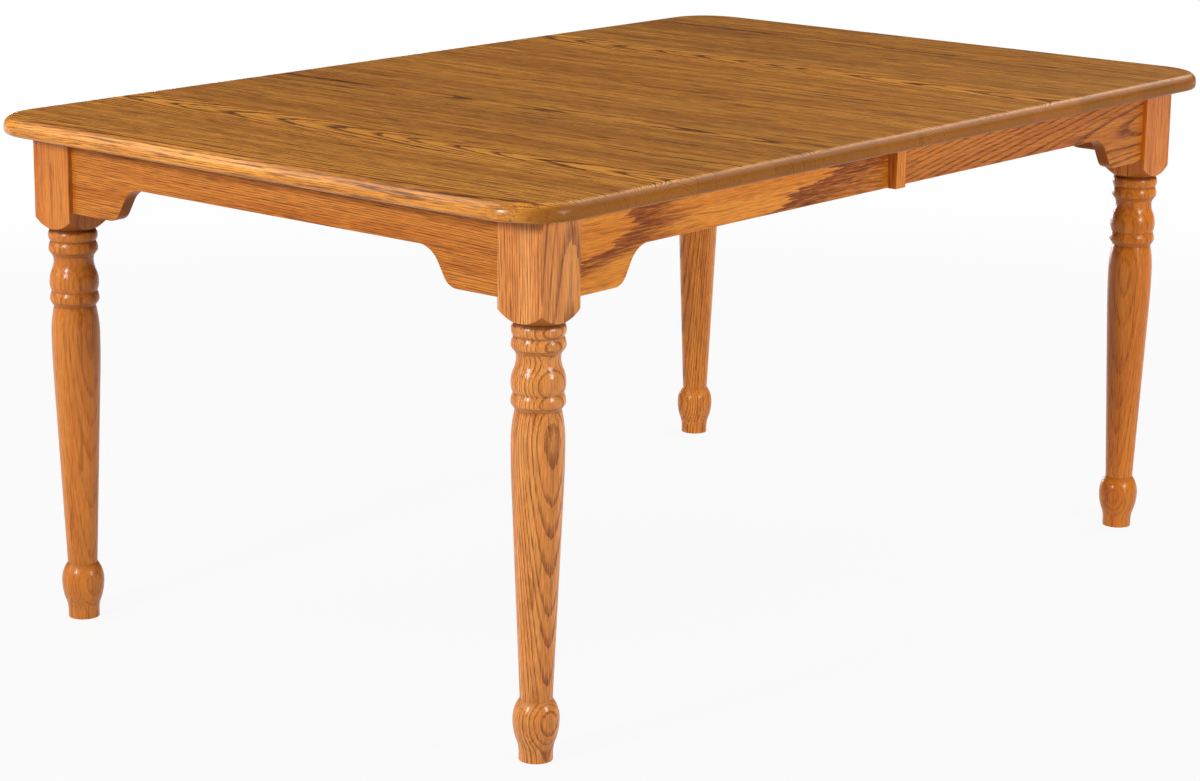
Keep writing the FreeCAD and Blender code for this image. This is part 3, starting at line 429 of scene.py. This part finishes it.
# %% [markdown]
# ## The top
# Each half of the top is glued up from boards about as wide as a hand, with the grain running
# across the table from long side to long side. Each board comes from another tree, so its arches,
# its spacing and its tone differ. We could cut the top into separate boards, but the solid is one
# piece. A one-dimensional Voronoi texture along the table's length marks off boards of uneven
# width instead and hands out random numbers, one set per board. At the two ends of the table the
# last board shows its edge, which is plain on the real top, so the rings are fainter there.

# %% Limits for the boards of the top
BOARD_WIDTH = 0.105
BOARD_SPREAD = 0.75
PITH_ASIDE = (-0.12, 0.12)
PITH_DEPTH = (-0.025, -0.095)
BOARD_SLOPE = (-0.05, 0.05)
BOARD_SKEW = (-0.015, 0.015)
RING_WIDTH = (0.0030, 0.0060)
BOARD_SEEDS = (0.0, 9.0)
BOARD_TONE = (0.86, 1.10)


def between(tree, chance, limits):
    """A random number from 0 to 1 spread over the given limits."""
    inputs = {"Value": chance, "To Min": limits[0], "To Max": limits[1]}
    return add_node(tree, "MapRange", inputs).outputs[0]


print("boards about", BOARD_WIDTH, "m wide, rings", RING_WIDTH, "m")

# %% Glued boards
def glued_boards(seed):
    """What changes from board to board: the place of the pith, its lean, the rings, the tone."""
    def change(tree, point):
        across = add_node(tree, "SeparateXYZ", {0: point}).outputs[1]
        position = compute(tree, "MULTIPLY_ADD", across, 1.0 / BOARD_WIDTH, seed)
        cell_inputs = {"W": position, "Scale": 1.0, "Randomness": BOARD_SPREAD}
        cells = add_node(tree, "TexVoronoi", cell_inputs, voronoi_dimensions="1D").outputs
        first = add_node(tree, "SeparateColor", {0: cells["Color"]}).outputs
        more = add_node(tree, "TexWhiteNoise", {"W": cells["W"]}, noise_dimensions="1D").outputs
        second = add_node(tree, "SeparateColor", {0: more["Color"]}).outputs

        middle = compute(tree, "SUBTRACT", cells["W"], seed)
        middle = compute(tree, "MULTIPLY", middle, BOARD_WIDTH)
        pith = {1: compute(tree, "ADD", middle, between(tree, first[0], PITH_ASIDE)),
                2: between(tree, first[1], PITH_DEPTH)}
        lean = {1: between(tree, second[0], BOARD_SKEW),
                2: between(tree, first[2], BOARD_SLOPE)}
        grey = between(tree, first[1], BOARD_TONE)
        tone = add_node(tree, "CombineColor", {0: grey, 1: grey, 2: grey}).outputs[0]
        return {"Pith": add_node(tree, "CombineXYZ", pith).outputs[0],
                "Lean": add_node(tree, "CombineXYZ", lean).outputs[0],
                "Ring": between(tree, second[1], RING_WIDTH),
                "Seed": compute(tree, "ADD", between(tree, second[2], BOARD_SEEDS), seed)}, tone

    return change


print("the tone of a board runs from", BOARD_TONE[0], "to", BOARD_TONE[1])

# %% Top halves
TOP_SEEDS = {"left": 59.0, "right": 43.0}
TOP_EDGE_CALM = 0.75

for half, seed in TOP_SEEDS.items():
    low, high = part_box(f"top_{half}_half")
    surface_middle = ((low.x + high.x) / 2, 0.0, high.z)
    board = Board("YXZ", surface_middle, (0.0, 0.0), (0.0, 0.0), RING_WIDTH[0], seed,
                  edge_calm=TOP_EDGE_CALM)
    finish = oak_finish(f"oak_top_{half}", board, TOP_STAIN, TOP_LACQUER, glued_boards(seed))
    dress(f"top_{half}_half", finish)
print("top halves dressed", list(TOP_SEEDS))

# %% [markdown]
# ## Legs
# Each leg is turned from one square blank, so a single trunk runs through block, beads, taper and
# foot. The pith lies well outside the blank, behind the face that shows arches, and the other
# faces get straight lines. We could paint the arches on, but the taper cuts through the same rings
# and draws the nested ellipses by itself. Turned wood is sanded smooth on the lathe, so the legs
# get a glossier lacquer with shallower pores than the frame. The near leg and the one farthest
# from it are paler and bolder than the other two.

# %% Leg finishes
# Each blank: where its pith lies, how its trunk leans, its tone and how bold its rings are.
# The near leg's tone lifts blue and green far above red: partly its own pinker tint, partly a
# painted sheen from the end lamp laid over the whole leg.
LEG_BLANKS = {"left_front": ((0.012, 0.085), (0.010, 0.040), (1.10, 1.25, 2.30), 0.95),
              "left_rear": ((0.016, 0.110), (0.010, 0.018), (0.84, 0.79, 0.84), 0.25),
              "right_front": ((0.120, 0.030), (0.018, 0.010), (1.02, 0.90, 0.66), 0.25),
              "right_rear": ((0.070, -0.040), (0.020, -0.020), (1.20, 1.22, 1.30), 0.85)}
LEG_RING = 0.0040
LEG_RAG = 0.35
LEG_SEED, LEG_SEED_STEP = 5.0, 7.0
BLANK_MIDDLE = 0.45

for number, (corner, (pith, lean, tone, bold)) in enumerate(LEG_BLANKS.items()):
    low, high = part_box(f"leg_{corner}")
    blank_axis = ((low.x + high.x) / 2, (low.y + high.y) / 2, BLANK_MIDDLE)
    seed = LEG_SEED + LEG_SEED_STEP * number
    board = Board("ZXY", blank_axis, pith, lean, LEG_RING, seed, LEG_RAG, tone, bold)
    dress(f"leg_{corner}", oak_finish(f"oak_leg_{corner}", board, FRAME_STAIN, LEG_LACQUER))
print("legs dressed", list(LEG_BLANKS))

# %% [markdown]
# ## Aprons and battens
# The aprons are boards on edge with the grain along them. The end aprons are cut across the rings,
# which leaves fine level dashes. On the left half of the front the board was cut along very wide
# rings, so a pale patch by the leg ends in a ragged dark arch, and a second arch follows it. On
# the right half the trunk leaned, so its lines climb along the board and close in an arch by the
# leg. We could draw the arches as curves, but one table of piths, leans and ring widths says all
# this.

# %% Apron boards
# Each board: its axes, pith, lean, ring width, raggedness, tone and how bold its rings are.
APRON_BOARDS = {
    "apron_left_end":
        ("YZX", (0.16, 0.05), (0.02, 0.01), 0.0030, 0.7, (0.84, 0.84, 0.84), 1.0),
    "apron_right_end":
        ("YZX", (-0.15, 0.06), (-0.02, 0.01), 0.0030, 0.7, (0.84, 0.84, 0.84), 1.0),
    "apron_left_front":
        ("XZY", (0.040, 0.3181), (0.0, 0.035), 0.0180, 0.44, (1.10, 1.14, 1.0), 1.42),
    "apron_right_front":
        ("XZY", (-0.038, 0.10), (0.13, -0.03), 0.0047, 0.34, (0.88, 0.84, 0.74), 1.1),
    "apron_left_rear":
        ("XZY", (0.03, -0.09), (-0.05, 0.04), 0.0060, 1.0, (0.90, 0.90, 0.90), 1.0),
    "apron_right_rear":
        ("XZY", (-0.02, -0.08), (0.06, 0.05), 0.0065, 1.0, (0.85, 0.85, 0.85), 1.0),
    "seam_batten_front":
        ("ZXY", (0.05, 0.04), (0.02, 0.02), 0.0040, 0.5, (1.12, 1.10, 1.05), 0.6),
    "seam_batten_rear":
        ("ZXY", (-0.05, -0.04), (0.02, 0.02), 0.0040, 0.5, (1.0, 1.0, 1.0), 0.8),
}
print("boards listed", len(APRON_BOARDS))

# %% Apron finishes
APRON_SEED, APRON_SEED_STEP = 60.0, 5.0

for number, (name, (axes, pith, lean, ring, rag, tone, bold)) in enumerate(APRON_BOARDS.items()):
    low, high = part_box(name)
    seed = APRON_SEED + APRON_SEED_STEP * number
    board = Board(axes, (low + high) / 2, pith, lean, ring, seed, rag, tone, bold)
    dress(name, oak_finish(f"oak_{name}", board, FRAME_STAIN, FRAME_LACQUER))
print("aprons and battens dressed", len(APRON_BOARDS))

# %% [markdown]
# ## Wood that stays inside
# Corner blocks and glue blocks are left bare, because nobody sees them. The slides and dowels are
# a paler, closer wood that is only waxed. We could give them a plain colour, but they show from
# below and when the table is pulled open, so they use the same figure with narrow rings and little
# stain.

# %% Bare and waxed wood
BARE = Stain(late=colour(214, 180, 132), mid=colour(200, 163, 114),
             early=colour(178, 138, 90), pore=colour(140, 102, 62), figure=0.5)
PALE = Stain(late=colour(231, 204, 160), mid=colour(222, 190, 143),
             early=colour(206, 170, 120), pore=colour(186, 148, 100), figure=0.3)
WAXED = Lacquer(rough=0.55, shine=0.25, coat=0.0, coat_rough=0.30, dent=0.00012)
print("bare late wood", [round(part, 2) for part in BARE.late[:3]])

# %% Inner wood
# Each kind: the pieces it is for, its stain, its axes, pith, lean, ring width and first seed.
INNER_WOOD = {
    "bare": (("corner_block", "glue_blocks"), BARE,
             "XYZ", (0.03, 0.05), (0.0, 0.02), 0.004, 110.0),
    "pale": (("slide_rail", "seam_dowels"), PALE,
             "XZY", (0.09, 0.04), (0.01, 0.01), 0.003, 140.0)}
INNER_SEED_STEP = 3.0

for kind, (starts, stain, axes, pith, lean, ring, first_seed) in INNER_WOOD.items():
    pieces = [name for name in table if name.startswith(starts)]
    for number, name in enumerate(pieces):
        low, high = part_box(name)
        seed = first_seed + INNER_SEED_STEP * number
        board = Board(axes, (low + high) / 2, pith, lean, ring, seed)
        dress(name, oak_finish(f"{kind}_{name}", board, stain, WAXED))
    print(kind, "wood on", len(pieces), "pieces")

# %% [markdown]
# ## Metal and nylon
# Bolts, washers, nuts and screws are zinc plated: a grey with a faint cloudy bloom. The seam locks
# are pressed from brass-plated steel that has dulled with handling. Racks and pinions are moulded
# nylon. A flat colour would do for parts this small, but they come close to the eye when someone
# looks under the table. Each gets cloudy noise for the bloom and a finer noise for the rolled or
# moulded surface.

# %% Worn finish
CLOUD_DETAIL = 4.0
CLOUD_RANGE = (0.35, 0.68)
CLOUD_ROUGH = 0.18
FINE_GRAIN = 1500.0
FINE_DETAIL = 2.0
FINE_DEPTH = 0.00004
FINE_RELIEF = 0.5


def worn_finish(name, pale, dull, metal, rough, cloud=60.0):
    """A metal or plastic with cloudy patches, uneven shine and a fine surface."""
    material, tree = new_material(name)
    place = tree.nodes.new("ShaderNodeTexCoord").outputs["Object"]
    cloud_inputs = {"Vector": place, "Scale": cloud, "Detail": CLOUD_DETAIL}
    clouds = add_node(tree, "TexNoise", cloud_inputs).outputs["Fac"]
    grain_inputs = {"Vector": place, "Scale": FINE_GRAIN, "Detail": FINE_DETAIL}
    rolled = add_node(tree, "TexNoise", grain_inputs).outputs["Fac"]
    share = soft_step(tree, clouds, *CLOUD_RANGE)
    shade = mix_colour(tree, share, pale, dull)
    uneven = compute(tree, "MULTIPLY_ADD", share, CLOUD_ROUGH, rough)
    dents = {"Height": rolled, "Distance": FINE_DEPTH, "Strength": FINE_RELIEF}
    relief = add_node(tree, "Bump", dents).outputs[0]
    show_surface(tree, add_node(tree, "BsdfPrincipled", {
        "Base Color": shade, "Metallic": metal, "Roughness": uneven, "Normal": relief}))
    return material


zinc = worn_finish("zinc_plate", colour(206, 208, 206), colour(168, 170, 168),
                   metal=1.0, rough=0.30)
brass = worn_finish("dulled_brass", colour(214, 176, 104), colour(150, 116, 62),
                    metal=1.0, rough=0.34)
nylon = worn_finish("moulded_nylon", colour(228, 223, 208), colour(210, 204, 186),
                    metal=0.0, rough=0.42, cloud=25.0)
print("made", zinc.name, brass.name, nylon.name)

# %% Hardware
HARDWARE = ((nylon, ("gear_rack", "pinion_front", "pinion_rear")),
            (brass, ("lock_base", "lock_rivet", "lock_lever", "lock_keeper")),
            (zinc, ("apron_screws", "slide_screws", "lock_screws", "hanger_", "pinion_axle")))

for finish, starts in HARDWARE:
    pieces = [name for name in table if name.startswith(starts)]
    for name in pieces:
        dress(name, finish)
    print(finish.name, "on", len(pieces), "pieces")

# %% [markdown]
# ## Floor
# The picture has a white ground. We could leave the floor out, but then nothing would show that
# the table stands on something. So a wide sheet of paper lies under the feet: to the camera and in
# reflections it is white, near the table it keeps part of its real shadow, and the light it throws
# back up is that of a mid grey, so the undersides of the beads stay dark. From below it is clear.

# %% Floor sheet
FLOOR_REACH = 60.0

floor_mesh = bpy.data.meshes.new("floor")
floor_corners = [(-FLOOR_REACH, -FLOOR_REACH, 0), (FLOOR_REACH, -FLOOR_REACH, 0),
                 (FLOOR_REACH, FLOOR_REACH, 0), (-FLOOR_REACH, FLOOR_REACH, 0)]
floor_mesh.from_pydata(floor_corners, [], [(0, 1, 2, 3)])
floor = bpy.data.objects.new("floor", floor_mesh)
bpy.context.scene.collection.objects.link(floor)
print("floor", [round(length, 1) for length in floor.dimensions], "m")

# %% Paper
SHADOW_SHARE = 0.08
SHADOW_FADE = (1.5, 4.0)
PAPER_GREY = (0.50, 0.50, 0.50, 1.0)
WHITE = (1.0, 1.0, 1.0, 1.0)

paper, sheet = new_material("white_paper")
spot = sheet.nodes.new("ShaderNodeNewGeometry").outputs
away = add_node(sheet, "VectorMath", {0: spot["Position"]}, operation="LENGTH").outputs["Value"]
rays = sheet.nodes.new("ShaderNodeLightPath").outputs
seen = compute(sheet, "MAXIMUM", rays["Is Camera Ray"], rays["Is Glossy Ray"])
seen = compute(sheet, "MAXIMUM", seen, rays["Is Transmission Ray"])
shaded = compute(sheet, "MULTIPLY", soft_step(sheet, away, *SHADOW_FADE[::-1]), SHADOW_SHARE)
white_share = compute(sheet, "MULTIPLY", seen, compute(sheet, "SUBTRACT", 1.0, shaded))
matte = add_node(sheet, "BsdfDiffuse", {"Color": PAPER_GREY})
white = add_node(sheet, "Emission", {"Color": WHITE, "Strength": 1.0})
lit = add_node(sheet, "MixShader", {0: white_share, 1: matte.outputs[0], 2: white.outputs[0]})
clear = sheet.nodes.new("ShaderNodeBsdfTransparent")
sides = {0: spot["Backfacing"], 1: lit.outputs[0], 2: clear.outputs[0]}
show_surface(sheet, add_node(sheet, "MixShader", sides))
floor_mesh.materials.append(paper)
print("shadow share", SHADOW_SHARE, "within", SHADOW_FADE[0], "m, none past", SHADOW_FADE[1], "m")

# %% [markdown]
# ## Light
# The photo was lit softly from two sides. The bright spots on the beads tell where the lamps
# stood: one off the end of the table and one off its long side. Larger, softer ones behind and to
# the right fill the top and put the pale line along the edge of the slab, and a low one lights the
# far side without touching the top. A single sky would be simpler, but it would lay a haze over
# the top, so the room is dark near the horizon and only a little brighter overhead.

# %% Softboxes
# Each softbox: its place, what it faces, its width and height in metres, and its watts.
SOFTBOXES = {"end": ((-4.2, 0.1, 1.9), (-0.5, 0.0, 0.55), (0.6, 0.6), 102.0),
             "side": ((-0.1, -3.3, 1.4), (0.0, -0.3, 0.55), (0.6, 0.6), 52.0),
             "edge": ((-2.8, 2.3, 1.7), (-0.8, 0.0, 0.75), (1.2, 1.4), 22.0),
             "back": ((-1.4, 1.5, 2.9), (-0.6, 0.0, 0.75), (1.9, 1.9), 30.0),
             "right": ((2.3, -0.8, 2.7), (0.2, -0.3, 0.75), (2.7, 2.7), 60.0),
             "rear": ((2.4, 3.4, 0.38), (0.3, 0.2, 0.42), (1.8, 0.6), 42.0)}

for name, (place, target, size, power) in SOFTBOXES.items():
    lamp = bpy.data.lights.new(f"{name}_softbox", "AREA")
    lamp.shape = "RECTANGLE"
    lamp.size, lamp.size_y = size
    lamp.energy = power
    holder = bpy.data.objects.new(lamp.name, lamp)
    holder.location = place
    holder.rotation_euler = (Vector(target) - Vector(place)).to_track_quat("-Z", "Y").to_euler()
    bpy.context.scene.collection.objects.link(holder)
    print(lamp.name, power, "W")

# %% Room
HORIZON_GREY = (0.03, 0.03, 0.03, 1.0)
OVERHEAD_GREY = (0.24, 0.24, 0.24, 1.0)
ROOM_RISE = (0.15, 0.65)

room = bpy.data.worlds.new("room")
room.use_nodes = True
bpy.context.scene.world = room
room_tree = room.node_tree
room_tree.nodes.clear()
direction = room_tree.nodes.new("ShaderNodeTexCoord").outputs["Generated"]
height = add_node(room_tree, "SeparateXYZ", {0: direction}).outputs["Z"]
rise = soft_step(room_tree, height, *ROOM_RISE)
walls = mix_colour(room_tree, rise, HORIZON_GREY, OVERHEAD_GREY)
glow = add_node(room_tree, "Background", {"Color": walls, "Strength": 1.0})
add_node(room_tree, "OutputWorld", {"Surface": glow.outputs[0]})
bpy.context.scene.view_settings.view_transform = "Standard"
print("room", HORIZON_GREY[0], "at the horizon,", OVERHEAD_GREY[0], "overhead")
